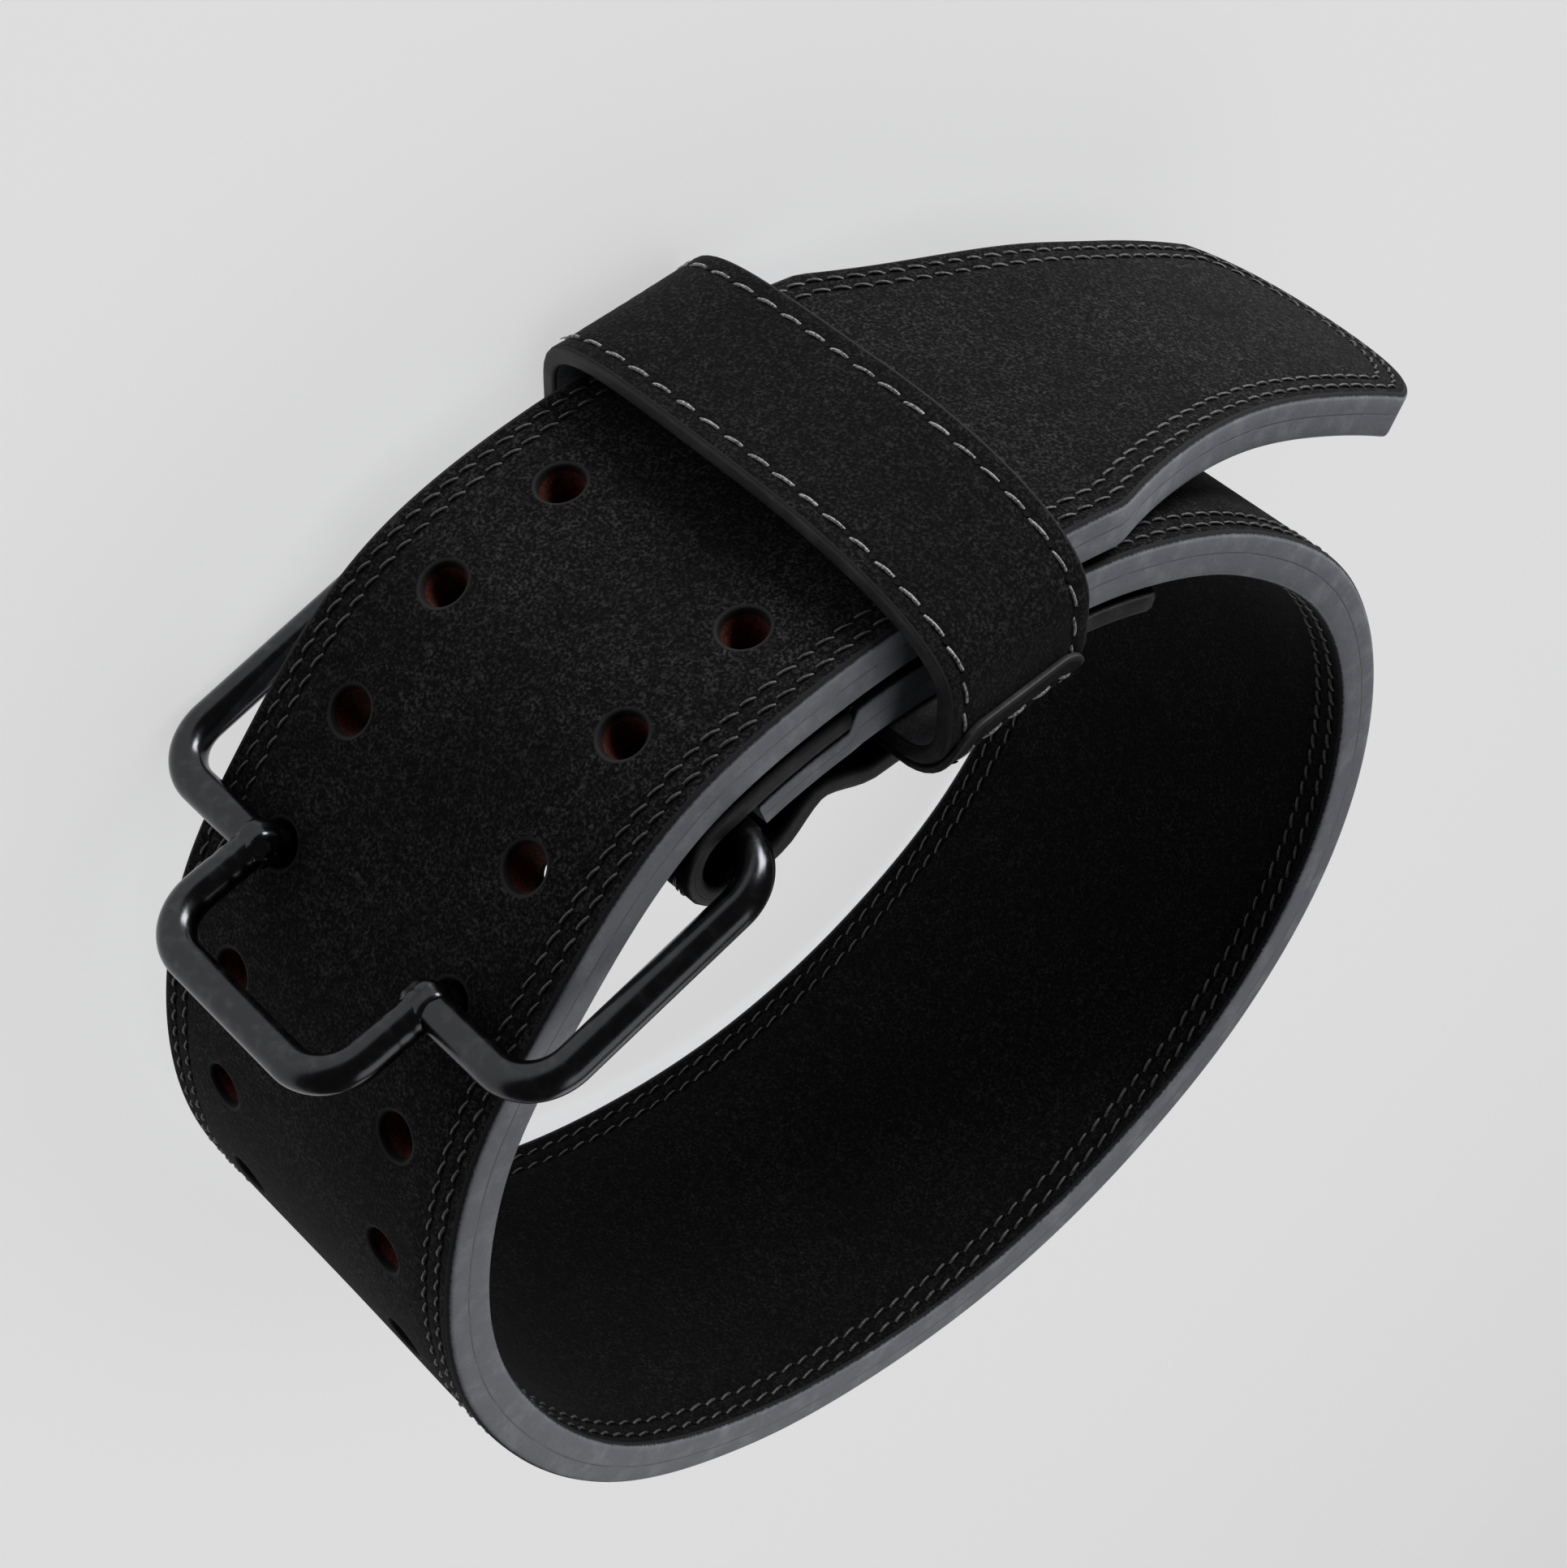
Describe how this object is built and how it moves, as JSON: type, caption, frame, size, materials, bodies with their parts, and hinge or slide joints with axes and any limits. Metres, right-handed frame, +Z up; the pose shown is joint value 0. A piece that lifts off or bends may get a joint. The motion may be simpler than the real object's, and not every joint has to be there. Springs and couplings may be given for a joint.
{
  "type": "weightlifting belt",
  "caption": "Thick leather lifting belt buckled into a round loop, with a double-prong wire buckle, a keeper loop and a tapered tongue, standing on its lower edge.",
  "frame": {"origin": "on the surface that the belt stands on, under the middle of its box", "axes": "+Z up, 3.5 degrees off the loop's own axis because the belt stands on its buckle wire, its keeper and the far stretch of its lower edge; the buckle faces -Y, and the tongue points to -X"},
  "size_m": [0.3082, 0.257, 0.131],
  "materials": {
    "suede": "black suede with painted edges",
    "tab_leather": "smooth black leather",
    "keeper_suede": "black suede with painted edges",
    "black_steel": "semi-gloss black"
  },
  "bodies": {
    "root": {"belt_strap": "suede", "buckle_tab": "tab_leather", "keeper_loop": "keeper_suede", "buckle_frame": "black_steel"}
  },
  "joints": []
}
